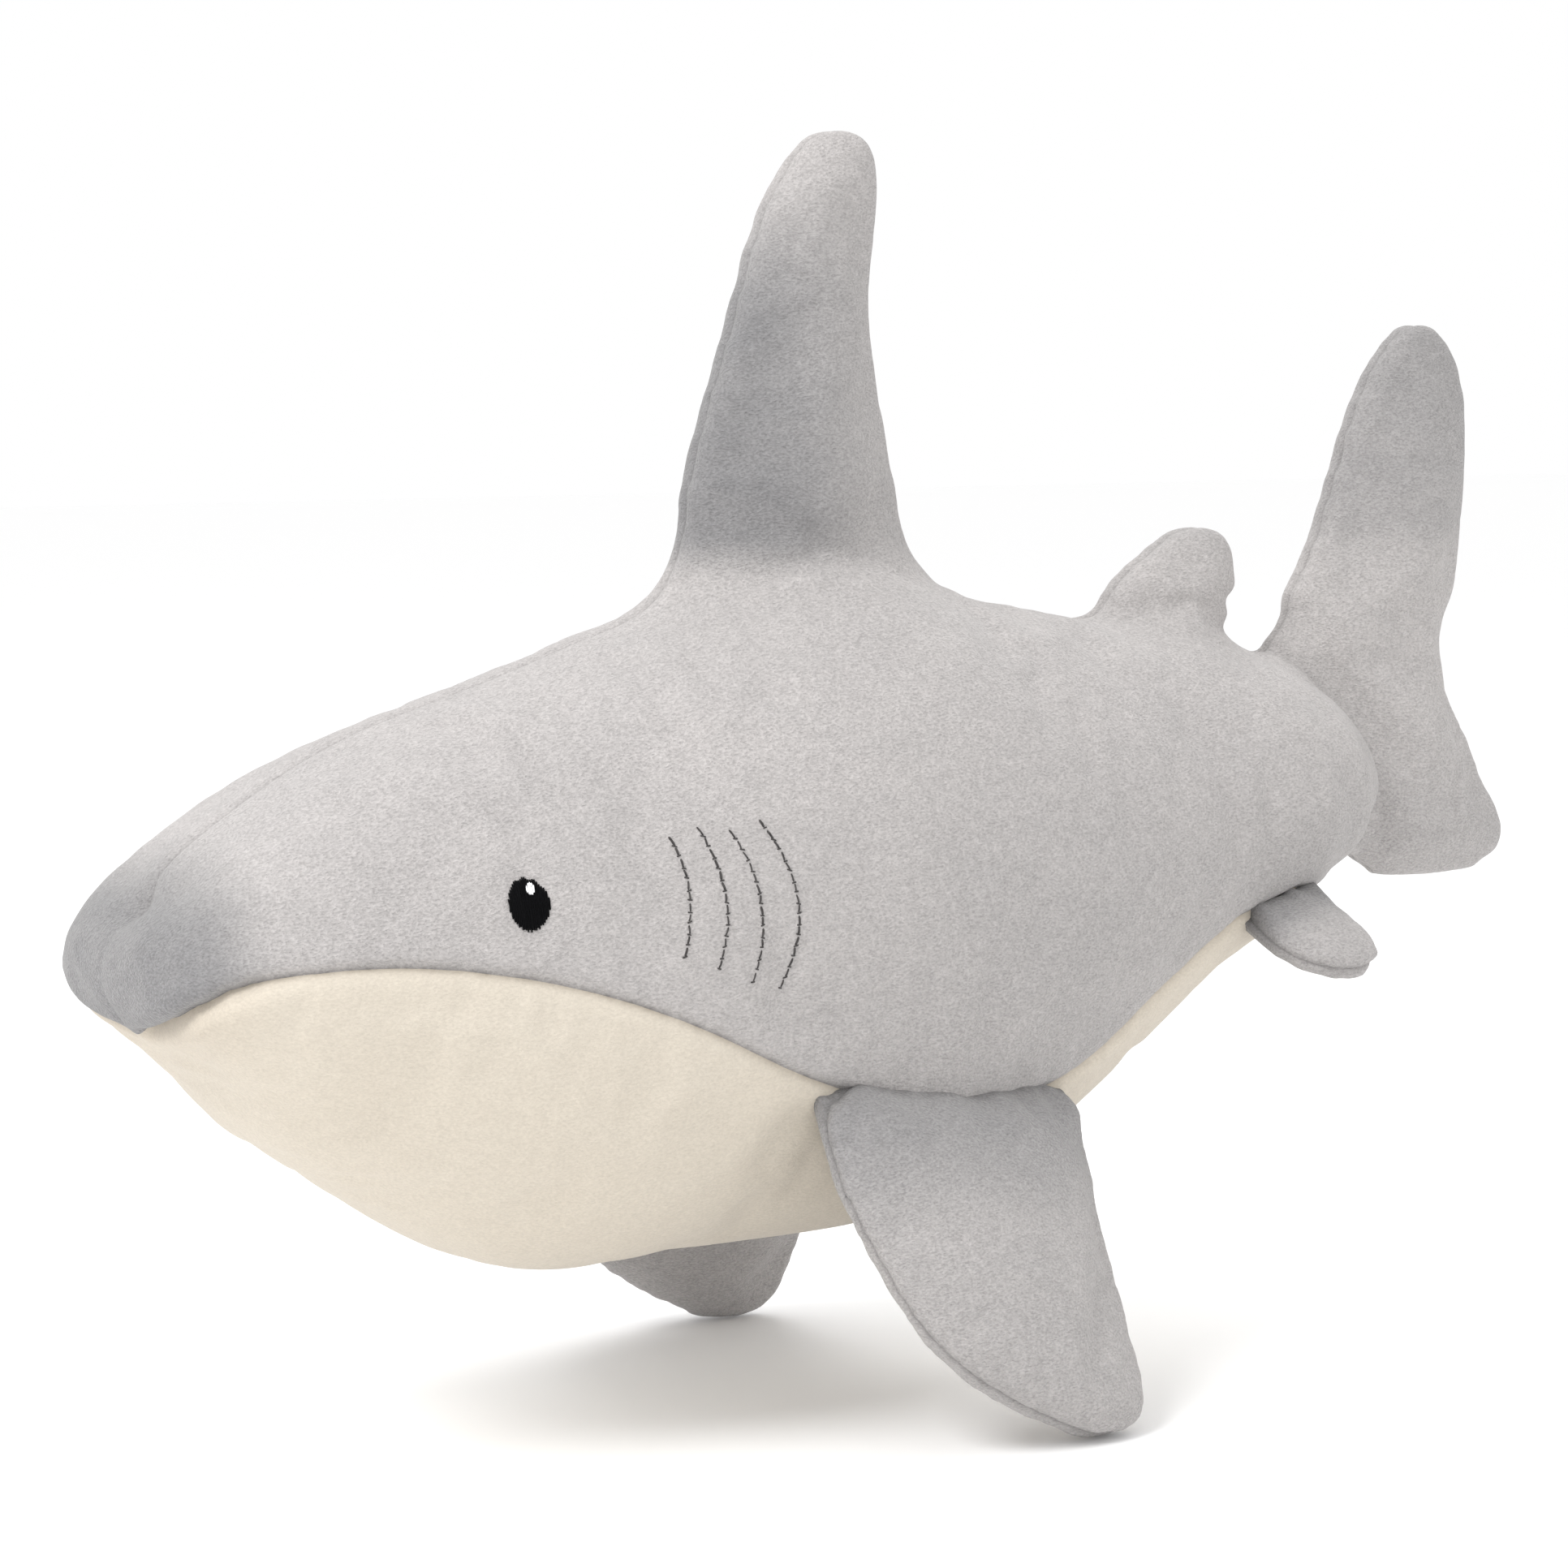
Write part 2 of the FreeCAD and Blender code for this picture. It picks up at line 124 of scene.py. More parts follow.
def band(value, low, full, falling, high):
    """0 up to low, 1 between full and falling, 0 from high on."""
    return smoothstep(value, low, full) * (1 - smoothstep(value, falling, high))


def bell(distance, width):
    return np.exp(-((distance / width) ** 2))


def new_object(name, mesh):
    piece = bpy.data.objects.new(name, mesh)
    bpy.context.scene.collection.objects.link(piece)
    return piece


def settle(piece):
    """Turn the piece's modifiers into mesh."""
    graph = bpy.context.evaluated_depsgraph_get()
    mesh = bpy.data.meshes.new_from_object(piece.evaluated_get(graph))
    piece.modifiers.clear()
    piece.data = mesh
    return piece


def remeshed(name, nodes, voxel, lumps=()):
    """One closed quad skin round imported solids, and round lumps of stuffing between them."""
    joined = bmesh.new()
    for node in nodes:
        joined.from_mesh(frame["nodes"][node].data)
    for centre, radius in lumps:
        place = Matrix.Translation(centre)
        bmesh.ops.create_icosphere(joined, subdivisions=3, radius=radius, matrix=place)
    mesh = bpy.data.meshes.new(name)
    joined.to_mesh(mesh)
    joined.free()
    piece = new_object(name, mesh)
    remesh = piece.modifiers.new("skin", "REMESH")
    remesh.mode = "VOXEL"
    remesh.voxel_size = voxel
    return settle(piece)


def relax(mesh, rounds, mask=None):
    """Smooth the mesh, with hardly any loss of volume where no mask is given."""
    points = points_of(mesh)
    edges = edges_of(mesh)
    count = len(points)
    one, two = edges[:, 0], edges[:, 1]
    degree = np.bincount(one, minlength=count) + np.bincount(two, minlength=count)
    weight = np.ones(count) if mask is None else mask
    for _ in range(rounds):
        for factor in (SHRINK, SWELL) if mask is None else (SHRINK,):
            mean = np.empty_like(points)
            for axis in range(3):
                column = points[:, axis]
                total = np.bincount(one, weights=column[two], minlength=count)
                total += np.bincount(two, weights=column[one], minlength=count)
                mean[:, axis] = total / degree
            points = points + (mean - points) * (factor * weight)[:, None]
    set_points(mesh, points)


def subdivide(piece, levels):
    subsurf = piece.modifiers.new("finer", "SUBSURF")
    subsurf.levels = levels
    return settle(piece)


def puff(piece, held, pressure, cap):
    """Blow the piece up as cloth with some of its points held, and cap how far each may move."""
    least_hold = 0.02
    growth = 0.02
    frames = 20
    mesh = piece.data
    start = points_of(mesh)
    group = piece.vertex_groups.new(name="held")
    for index in np.nonzero(held > least_hold)[0]:
        group.add([int(index)], float(held[index]), "REPLACE")
    cloth = piece.modifiers.new("cloth", "CLOTH")
    settings = cloth.settings
    settings.quality = 4
    settings.mass = 0.15
    settings.tension_stiffness = 12
    settings.compression_stiffness = 6
    settings.shear_stiffness = 4
    settings.bending_stiffness = 0.25
    settings.use_pressure = True
    settings.uniform_pressure_force = pressure
    settings.shrink_min = -growth
    settings.vertex_group_mass = "held"
    settings.effector_weights.gravity = 0
    cloth.collision_settings.use_self_collision = False
    scene = bpy.context.scene
    for number in range(1, frames + 1):
        scene.frame_set(number)
    graph = bpy.context.evaluated_depsgraph_get()
    result = points_of(piece.evaluated_get(graph).data)
    piece.modifiers.clear()
    piece.vertex_groups.clear()
    scene.frame_set(1)
    move = result - start
    length = np.linalg.norm(move, axis=1)
    share = cap * np.tanh(length / cap) / np.maximum(length, 1e-9)
    set_points(mesh, start + move * share[:, None])


def refine_near(mesh, distance, reach):
    """Halve the edges whose both ends are nearer to a seam than reach."""
    work = bmesh.new()
    work.from_mesh(mesh)
    work.verts.ensure_lookup_table()
    near = [
        edge
        for edge in work.edges
        if distance[edge.verts[0].index] < reach and distance[edge.verts[1].index] < reach
    ]
    bmesh.ops.subdivide_edges(work, edges=near, cuts=1, smooth=0.6, use_grid_fill=True)
    work.to_mesh(mesh)
    work.free()


def part_along(mesh, side_of):
    """Cut the mesh's faces along the line where side_of, a function of the points, is zero."""
    work = bmesh.new()
    work.from_mesh(mesh)
    work.verts.ensure_lookup_table()
    values = list(side_of(points_of(mesh)))
    snap = 0.12
    for edge in list(work.edges):
        one, two = edge.verts
        first, second = values[one.index], values[two.index]
        if first * second >= 0:
            continue
        share = first / (first - second)
        if share < snap:
            one.co = one.co.lerp(two.co, share)
            values[one.index] = 0.0
        elif share > 1 - snap:
            two.co = one.co.lerp(two.co, share)
            values[two.index] = 0.0
    layer = work.verts.layers.float.new("side")
    for vertex in work.verts:
        vertex[layer] = values[vertex.index]
    crossing = [edge for edge in work.edges if edge.verts[0][layer] * edge.verts[1][layer] < 0]
    for edge in crossing:
        one, two = edge.verts
        share = one[layer] / (one[layer] - two[layer])
        _, vertex = bmesh.utils.edge_split(edge, one, share)
        vertex[layer] = 0.0
    for face in list(work.faces):
        corners = [vertex for vertex in face.verts if vertex[layer] == 0.0]
        signs = {vertex[layer] > 0 for vertex in face.verts if vertex[layer] != 0.0}
        if len(signs) < 2 or len(corners) < 2:
            continue
        one, two = corners[0], corners[-1]
        if not any(two in edge.verts for edge in one.link_edges):
            bmesh.utils.face_split(face, one, two)
    work.verts.layers.float.remove(layer)
    work.to_mesh(mesh)
    work.free()


def distance_to(points, targets, reach):
    """Each point's distance to the nearest target, and that target.

    Points outside the targets' box, widened by reach, get a distance of 1 m and their own place.
    """
    tree = KDTree(len(targets))
    for index, target in enumerate(targets):
        tree.insert(target, index)
    tree.balance()
    low = targets.min(0) - reach
    high = targets.max(0) + reach
    inside = ((points > low) & (points < high)).all(1)
    distance = np.full(len(points), 1.0)
    nearest = np.array(points)
    for index in np.nonzero(inside)[0]:
        place, _, gap = tree.find(points[index])
        distance[index] = gap
        nearest[index] = place
    return distance, nearest


def speckle(places, size, seed):
    """Smooth noise from -1 to 1, one value for each place, with blobs of about that size."""
    stride = (17.3, 5.1, 9.7)
    shift = Vector([seed * step for step in stride])
    return np.array([noise.noise(Vector(place) / size + shift) for place in places])


def sew(mesh, seam, depth, width, pucker, seed):
    """Sink the cloth into a seam, with small puckers that run away from it.

    depth is a function of the places on the seam.
    """
    reach = 16 * MM
    pucker_size, crinkle_size, sag_size = 4.5 * MM, 2.2 * MM, 15 * MM
    crinkle_share, sag_share, swell_share = 0.6, 0.35, 0.35
    pucker_length = 4.5 * MM
    stitched, free = 0.2 * MM, 1.5 * MM
    points = points_of(mesh)
    distance, nearest = distance_to(points, seam, reach)
    near = distance < reach
    gap = distance[near]
    place = nearest[near]
    ripple = speckle(place, pucker_size, seed)
    ripple += crinkle_share * speckle(place, crinkle_size, seed + 1)
    sunk = depth(place) * (1 + sag_share * speckle(place, sag_size, seed + 2))
    sink = sunk * bell(gap, width)
    sink += pucker * ripple * np.exp(-gap / pucker_length) * smoothstep(gap, stitched, free)
    swell = swell_share * sunk * bell(gap - 3.2 * width, 2 * width)
    points[near] -= normals_of(mesh)[near] * (sink - swell)[:, None]
    set_points(mesh, points)
    return distance


def press(mesh, centre, reach, depth):
    """Push the cloth in round a point by depth, or out if depth is negative."""
    points = points_of(mesh)
    share = bell(np.linalg.norm(points - np.array(centre), axis=1), reach)
    set_points(mesh, points - normals_of(mesh) * (depth * share)[:, None])


def gather(mesh, centre, across, pitch, reach, depth):
    """Fold the cloth round a point into soft ridges that lie across a direction."""
    points = points_of(mesh)
    offset = points - np.array(centre)
    share = bell(np.linalg.norm(offset, axis=1), reach)
    wave = np.cos(2 * math.pi * (offset @ np.array(across)) / pitch)
    set_points(mesh, points + normals_of(mesh) * (depth * share * wave)[:, None])


def paint_shade_and_nap(mesh, name, values):
    """Keep one number for each point of the mesh, for its material: the painted shade in the creases, and
    how dark the nap is.
    """
    layer = mesh.attributes.get(name) or mesh.attributes.new(name, "FLOAT", "POINT")
    layer.data.foreach_set("value", np.asarray(values, dtype=np.float32))


def centres_of(mesh):
    flat = np.empty(len(mesh.polygons) * 3)
    mesh.polygons.foreach_get("center", flat)
    return flat.reshape(-1, 3)


def panel(name, mesh, chosen):
    """A new piece from the mesh's chosen faces."""
    work = bmesh.new()
    work.from_mesh(mesh)
    work.faces.ensure_lookup_table()
    spare = [work.faces[index] for index in np.nonzero(~chosen)[0]]
    bmesh.ops.delete(work, geom=spare, context="FACES")
    for face in work.faces:
        face.smooth = True
    own = bpy.data.meshes.new(name)
    work.to_mesh(own)
    work.free()
    return new_object(name, own)


def rim_of(mesh, side_of):
    """The points on the mesh's cut."""
    points = points_of(mesh)
    return points[np.abs(side_of(points)) < ON_SEAM]


# ---------------------------------------------------------------------------------------------
# Materials
# ---------------------------------------------------------------------------------------------


class Nodes:
    """A small helper that wires a material's nodes."""

    def __init__(self, name):
        self.material = bpy.data.materials.new(name)
        self.material.use_nodes = True
        self.tree = self.material.node_tree
        self.shader = self.tree.nodes["Principled BSDF"]
        self.place = self.add("ShaderNodeTexCoord").outputs["Object"]

    def add(self, kind, **settings):
        node = self.tree.nodes.new(kind)
        for key, value in settings.items():
            setattr(node, key, value)
        return node

    def link(self, source, target):
        self.tree.links.new(source, target)

    def noise(self, scale, detail, roughness, stretch=None):
        node = self.add("ShaderNodeTexNoise")
        node.inputs["Scale"].default_value = scale
        node.inputs["Detail"].default_value = detail
        node.inputs["Roughness"].default_value = roughness
        place = self.place
        if stretch:
            mapping = self.add("ShaderNodeMapping")
            mapping.inputs["Scale"].default_value = stretch
            self.link(place, mapping.inputs["Vector"])
            place = mapping.outputs["Vector"]
        self.link(place, node.inputs["Vector"])
        return node.outputs["Fac"]

    def attribute(self, name):
        return self.add("ShaderNodeAttribute", attribute_name=name).outputs["Fac"]

    def total(self, one, two):
        node = self.add("ShaderNodeMath", operation="ADD")
        self.link(one, node.inputs[0])
        self.link(two, node.inputs[1])
        return node.outputs[0]

    def spread(self, value, low, high):
        """Map 0.3..0.7, where noise mostly lies, to low..high."""
        node = self.add("ShaderNodeMapRange")
        node.inputs["From Min"].default_value = 0.3
        node.inputs["From Max"].default_value = 0.7
        node.inputs["To Min"].default_value = low
        node.inputs["To Max"].default_value = high
        self.link(value, node.inputs["Value"])
        return node.outputs["Result"]

    def blend(self, share, one, two):
        node = self.add("ShaderNodeMix", data_type="RGBA")
        self.link(share, node.inputs[0])
        for socket, colour in ((node.inputs[6], one), (node.inputs[7], two)):
            if isinstance(colour, tuple):
                socket.default_value = (*colour, 1)
            else:
                self.link(colour, socket)
        return node.outputs[2]

    def brightness(self, colour, factor):
        node = self.add("ShaderNodeVectorMath", operation="SCALE")
        if isinstance(colour, tuple):
            node.inputs[0].default_value = colour
        else:
            self.link(colour, node.inputs[0])
        self.link(factor, node.inputs["Scale"])
        return node.outputs[0]

    def bump(self, height, distance, strength, under=None):
        node = self.add("ShaderNodeBump")
        node.inputs["Distance"].default_value = distance
        node.inputs["Strength"].default_value = strength
        self.link(height, node.inputs["Height"])
        if under:
            self.link(under, node.inputs["Normal"])
        return node.outputs["Normal"]


def plush(name, lifted, brushed, shadow, sheen, grain_share, patch_share):
    """Short brushed pile: fine grain, soft tufts, patches where the nap lies the other way, and painted
    shade in the creases.
    """
    nodes = Nodes(name)
    grain = nodes.noise(scale=1450, detail=2.0, roughness=0.6, stretch=(0.7, 1.0, 1.3))
    tufts = nodes.noise(scale=330, detail=3.0, roughness=0.6)
    strokes = nodes.noise(scale=95, detail=4.0, roughness=0.6, stretch=(0.45, 1.0, 1.3))
    patches = nodes.noise(scale=26, detail=3.0, roughness=0.55)
    swept = nodes.attribute("nap")
    for noise_value in (patches, strokes):
        swept = nodes.total(swept, nodes.spread(noise_value, -patch_share, patch_share))
    swept_share = nodes.add("ShaderNodeClamp")
    nodes.link(swept, swept_share.inputs["Value"])
    colour = nodes.blend(swept_share.outputs[0], lifted, brushed)
    for noise_value, darker, lighter in ((tufts, 0.3, 0.2), (grain, 1, 0.8)):
        factor = nodes.spread(noise_value, 1 - darker * grain_share, 1 + lighter * grain_share)
        colour = nodes.brightness(colour, factor)
    # painted shade: the shadow colour is mixed in where the crease attribute marks seams and fin roots
    colour = nodes.blend(nodes.attribute("crease"), colour, shadow)
    nodes.link(colour, nodes.shader.inputs["Base Color"])
    relief = nodes.bump(tufts, distance=0.5 * MM, strength=1.5 * grain_share)
    grain_strength = min(1.0, 4.5 * grain_share)
    relief = nodes.bump(grain, distance=0.7 * MM, strength=grain_strength, under=relief)
    nodes.link(relief, nodes.shader.inputs["Normal"])
    nodes.shader.inputs["Roughness"].default_value = 0.92
    nodes.shader.inputs["Specular IOR Level"].default_value = 0.12
    nodes.shader.inputs["Sheen Weight"].default_value = sheen
    nodes.shader.inputs["Sheen Roughness"].default_value = 0.45
    nodes.shader.inputs["Sheen Tint"].default_value = (1.0, 0.985, 0.97, 1)
    return nodes.material


def thread(name, colour, roughness, shine):
    """Embroidery thread: fine twisted strands with a soft shine."""
    nodes = Nodes(name)
    strands = nodes.noise(scale=2600, detail=2.0, roughness=0.5, stretch=(1.0, 1.0, 0.25))
    shade = nodes.brightness(colour, nodes.spread(strands, 0.6, 1.5))
    nodes.link(shade, nodes.shader.inputs["Base Color"])
    relief = nodes.bump(strands, distance=0.12 * MM, strength=0.6)
    nodes.link(relief, nodes.shader.inputs["Normal"])
    nodes.shader.inputs["Roughness"].default_value = roughness
    nodes.shader.inputs["Specular IOR Level"].default_value = shine
    nodes.shader.inputs["Sheen Weight"].default_value = shine
    return nodes.material


GREY_PLUSH = plush(
    "grey_plush",
    lifted=(0.49, 0.465, 0.456),
    brushed=(0.235, 0.232, 0.236),
    shadow=(0.1, 0.096, 0.094),
    sheen=0.3,
    grain_share=0.21,
    patch_share=0.05,
)
CREAM_PLUSH = plush(
    "cream_plush",
    lifted=(0.615, 0.56, 0.478),
    brushed=(0.55, 0.49, 0.41),
    shadow=(0.36, 0.31, 0.25),
    sheen=0.2,
    grain_share=0.08,
    patch_share=0.1,
)
BLACK_THREAD = thread("black_thread", (0.0015, 0.0015, 0.002), roughness=0.5, shine=0.04)
WHITE_THREAD = thread("white_thread", (0.85, 0.85, 0.86), roughness=0.5, shine=0.15)
GREY_THREAD = thread("dark_grey_thread", (0.06, 0.056, 0.055), roughness=0.7, shine=0.1)


def finish_piece(piece, material, slot_name, *replaced):
    piece.data.materials.clear()
    piece.data.materials.append(material)
    if replaced:
        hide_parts(*replaced)


# ---------------------------------------------------------------------------------------------
# Body
# ---------------------------------------------------------------------------------------------


def seam_outline():
    """The belly seam seen from the side, as places and levels, from the belly panel's cut edge."""
    edge_on = 0.01
    off_middle = 4 * MM
    decimals = 5
    spots = 60
    drop = 80 * MM
    past_end = 2 * MM
    mesh = frame["nodes"]["belly_panel"].data
    found = set()
    for face in mesh.polygons:
        if abs(face.normal.y) < edge_on and abs(face.center.y) > off_middle:
            for index in face.vertices:
                point = mesh.vertices[index].co
                found.add((round(point.x, decimals), round(point.z, decimals)))
    # the seam runs up and back everywhere, seen along this slant
    slant = 1.2
    rim = np.array(sorted(found, key=lambda spot: spot[0] + slant * spot[1]))
    rim = rim[:: max(1, len(rim) // spots)]
    below = np.array([0, drop])
    behind = rim[-1] + np.array([past_end, 0])
    return np.vstack([rim[0] - below, rim, behind, behind - below])


SEAM = seam_outline()


def above_belly(points):
    """How far each point lies above the belly seam, seen from the side; below it is negative."""
    flat = np.asarray(points)[:, [0, 2]]
    nearest = np.full(len(flat), np.inf)
    side = np.ones(len(flat))
    for start, end in zip(SEAM[:-1], SEAM[1:]):
        along = end - start
        offset = flat - start
        share = np.clip(offset @ along / (along @ along), 0, 1)
        gap = np.linalg.norm(offset - share[:, None] * along, axis=1)
        closer = gap < nearest
        turn = along[0] * offset[:, 1] - along[1] * offset[:, 0]
        nearest[closer] = gap[closer]
        side[closer] = np.sign(turn[closer])
    return nearest * side


def beside_middle(points):
    return points[:, 1]


def tree_of(nodes):
    """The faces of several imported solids, for finding the nearest one."""
    points, faces = [], []
    for node in nodes:
        mesh = frame["nodes"][node].data
        first = len(points)
        points += [vertex.co.copy() for vertex in mesh.vertices]
        faces += [tuple(first + index for index in face.vertices) for face in mesh.polygons]
    return BVHTree.FromPolygons(points, faces)


TRUNK_TREE = tree_of(["side_panel_left", "side_panel_right", "belly_panel"])
TAIL_TREE = tree_of(["tail_skin"])
TAIL_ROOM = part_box("tail_skin")[0].x - 20 * MM
TAIL_FAR = 50 * MM


def trunk_and_tail(points):
    """Each point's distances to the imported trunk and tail; far from the tail, 0 and TAIL_FAR."""
    gaps = np.tile([0.0, TAIL_FAR], (len(points), 1))
    for index in np.nonzero(points[:, 0] > TAIL_ROOM)[0]:
        gaps[index] = [tree.find_nearest(points[index])[3] for tree in (TRUNK_TREE, TAIL_TREE)]
    return gaps


def nearer_tail(points):
    gaps = trunk_and_tail(points)
    return gaps[:, 0] - gaps[:, 1]


def tail_neck():
    """Lumps of stuffing that close the gap between the trunk and the tail's root."""
    neck_low, neck_high, step = 136 * MM, 190 * MM, 4 * MM
    slice_half = 3 * MM
    sunk = 1 * MM
    radius = 7.5 * MM
    points = points_of(frame["nodes"]["tail_skin"].data)
    lumps = []
    for level in np.arange(neck_low, neck_high, step):
        ring = points[np.abs(points[:, 2] - level) < slice_half]
        lumps.append((Vector((ring[:, 0].min() + sunk, 0, level)), radius))
    return lumps


# levels where the two back fins leave the back, and where one ends and the other starts
DORSAL_ROOT = 0.65 * CAD_HIGH.z
REAR_DORSAL_ROOT = 0.585 * CAD_HIGH.z
DORSAL_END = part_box("eye_left")[0].x + 187 * MM
REAR_DORSAL_START = DORSAL_END + 12 * MM


def fin_bases(points):
    """Where the two back fins flow into the back: 1 there, 0 elsewhere."""
    x, z = points[:, 0], points[:, 2]
    root = DORSAL_ROOT
    front = band(z, root - 18 * MM, root - 8 * MM, root + 4 * MM, root + 24 * MM)
    front *= band(x, -100 * MM, -75 * MM, DORSAL_END - 12 * MM, DORSAL_END)
    root = REAR_DORSAL_ROOT
    rear = band(z, root - 12 * MM, root - 4 * MM, root + 4 * MM, root + 12 * MM)
    rear *= smoothstep(x, DORSAL_END, REAR_DORSAL_START)
    return front + rear


def seam_gaps(points):
    """Each point's distance to the nearest seam, roughly; the belly has no middle seam."""
    no_seam = 20 * MM
    level = above_belly(points)
    middle = np.abs(points[:, 1]) + no_seam * (level < 0)
    crease = np.abs(nearer_tail(points))
    return np.minimum(np.minimum(np.abs(level), middle), crease)


def grow_fins(mesh):
    """Give the thin back fins and tail back what the smoothing took."""
    lost = 1.6 * MM
    points = points_of(mesh)
    x, z = points[:, 0], points[:, 2]
    dorsal = smoothstep(z, DORSAL_ROOT, DORSAL_ROOT + 30 * MM)
    rear = smoothstep(z, REAR_DORSAL_ROOT + 6 * MM, REAR_DORSAL_ROOT + 20 * MM)
    rear *= smoothstep(x, DORSAL_END, REAR_DORSAL_START)
    tail = smoothstep(trunk_and_tail(points)[:, 0], 8 * MM, 25 * MM) * (x > TAIL_ROOM)
    share = np.maximum(np.maximum(dorsal, rear), tail)
    set_points(mesh, points + normals_of(mesh) * (lost * share)[:, None])


def build_body():
    """The skin of the trunk, back fins and tail, as one mesh cut along all its seams."""
    neck_width = 9 * MM
    solids = ["side_panel_left", "side_panel_right", "belly_panel", "body_stuffing"]
    solids += ["tail_skin", "tail_stuffing"]
    skin = remeshed("body_skin", solids, voxel=4 * MM, lumps=tail_neck())
    mesh = skin.data
    relax(mesh, rounds=6)
    grow_fins(mesh)
    relax(mesh, rounds=16, mask=fin_bases(points_of(mesh)))
    neck = bell(trunk_and_tail(points_of(mesh)).sum(1), neck_width)
    relax(mesh, rounds=14, mask=neck)
    held = 1 - smoothstep(seam_gaps(points_of(mesh)), 2 * MM, 9 * MM)
    puff(skin, held, pressure=3.0, cap=3.5 * MM)
    subdivide(skin, 1)
    mesh = skin.data
    refine_near(mesh, seam_gaps(points_of(mesh)), reach=6 * MM)
    part_along(mesh, above_belly)
    part_along(mesh, beside_middle)
    part_along(mesh, nearer_tail)
    return skin


BODY_SKIN = build_body()


# how far behind the nose's tip, level, reach and depth of each press, in mm
MIDDLE_PRESSES = (
    (0, 126, 24, 2.2),  # flattens the front
    (10, 143, 6, 4),  # pinches the top
)
SIDE_PRESSES = (
    (17, 144, 9, 1.8),  # sets the bulb off from the head
    (8, 129, 13, -1.2),  # fills the bulb
    (22, 101, 17, 4.5),  # tucks in the chin
)
PRESSES_ASIDE = 14 * MM


def shape_nose(mesh):
    """The nose's rounded bulb: pinched on top and set off from the head and the chin."""
    tip = CAD_LOW.x
    for behind, level, reach, depth in MIDDLE_PRESSES:
        press(mesh, (tip + behind * MM, 0, level * MM), reach * MM, depth * MM)
    for sign in SIDES.values():
        for behind, level, reach, depth in SIDE_PRESSES:
            place = (tip + behind * MM, sign * PRESSES_ASIDE, level * MM)
            press(mesh, place, reach * MM, depth * MM)


# soft folds in the cloth: at the foot of the rear dorsal fin, and on each side before the tail
DORSAL_FOLDS = {"across": (0.3, 0, 1), "pitch": 9 * MM, "reach": 11 * MM, "depth": 0.9 * MM}
TAIL_FOLDS = {"across": (1, 0, 0.2), "pitch": 17 * MM, "reach": 19 * MM, "depth": 0.8 * MM}


def fold_body(mesh):
    """Soft folds, and a fuller body over the roots of the pectoral fins."""
    gather(mesh, (121 * MM, 0, 198 * MM), **DORSAL_FOLDS)
    root_aside, root_sunk, bulge_reach, bulge = 54 * MM, 7 * MM, 22 * MM, 3.2 * MM
    for side, sign in SIDES.items():
        low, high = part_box(f"pectoral_{side}_outer_panel")
        root_middle = ((low.x + high.x) / 2, sign * root_aside, high.z - root_sunk)
        press(mesh, root_middle, bulge_reach, -bulge)
        gather(mesh, (139 * MM, sign * 37 * MM, 148 * MM), **TAIL_FOLDS)


def behind_nose(points):
    """0 on the nose's tip, rising to 1 behind it, for the middle seam that doesn't show there."""
    return smoothstep(points[:, 0], CAD_LOW.x + 10 * MM, CAD_LOW.x + 20 * MM)


def middle_depth(places):
    """The middle and tail seams are sunk less on the nose."""
    return (0.2 + 0.55 * behind_nose(places)) * MM


def belly_depth(places):
    """The belly seam is sunk deeper under the nose."""
    on_nose = 1 - smoothstep(places[:, 0], CAD_LOW.x + 16 * MM, CAD_LOW.x + 30 * MM)
    return (1.4 + 1.6 * on_nose) * MM


def body_nap(points, tailward):
    """How dark the nap looks: darker on the snout, the back fin, the low flank and the tail."""
    x, z = points[:, 0], points[:, 2]
    top = CAD_HIGH.z
    snout = 1 - smoothstep(x, CAD_LOW.x + 8 * MM, CAD_LOW.x + 30 * MM)
    fin = band(z, 0.65 * top, 0.69 * top, 0.84 * top, 1.0 * top)
    fin *= 1 - 0.7 * smoothstep(x, -42 * MM, -5 * MM)
    low_flank = smoothstep(x, -60 * MM, 0) * (1 - smoothstep(z, 0.40 * top, 0.55 * top))
    tail = smoothstep(tailward, 0, 20 * MM) * smoothstep(z, 0.6 * top, 0.8 * top)
    return 0.12 + 0.8 * snout + 0.78 * fin + 0.14 * low_flank + 0.25 * tail


def sew_body():
    """Shape the nose and the folds, sink the seams, paint shade into the creases, and store how dark the nap
    is.
    """
    mesh = BODY_SKIN.data
    points = points_of(mesh)
    level = above_belly(points)
    tailward = nearer_tail(points)
    near_cut = 0.02 * MM
    on_belly_seam = (np.abs(level) < near_cut) & (tailward < -1 * MM)
    on_middle_seam = (np.abs(points[:, 1]) < ON_SEAM) & (level > 1 * MM)
    on_tail_seam = np.abs(tailward) < near_cut
    shape_nose(mesh)
    fold_body(mesh)
    points = points_of(mesh)
    belly_seam = points[on_belly_seam]
    middle_seam = points[on_middle_seam]
    tail_seam = points[on_tail_seam]
    belly_gap = sew(mesh, belly_seam, belly_depth, width=1.6 * MM, pucker=0.25 * MM, seed=3)
    middle_gap = sew(mesh, middle_seam, middle_depth, width=1.3 * MM, pucker=0.12 * MM, seed=11)
    tail_gap = sew(mesh, tail_seam, middle_depth, width=2.4 * MM, pucker=0.2 * MM, seed=19)
    # painted shade: the cloth is darkened along the belly seam, the middle seam behind the nose and the tail
    # seam, unevenly
    soft = 0.6 + 0.4 * speckle(points, 3 * MM, seed=5)
    crease = 0.85 * soft * bell(belly_gap, 0.8 * MM)
    crease += 0.35 * soft * behind_nose(points) * bell(middle_gap, 0.7 * MM)
    crease += 0.12 * bell(tail_gap, 1.5 * MM)
    paint_shade_and_nap(mesh, "crease", np.clip(crease, 0, 1))
    paint_shade_and_nap(mesh, "nap", np.clip(body_nap(points_of(mesh), tailward), 0, 1))


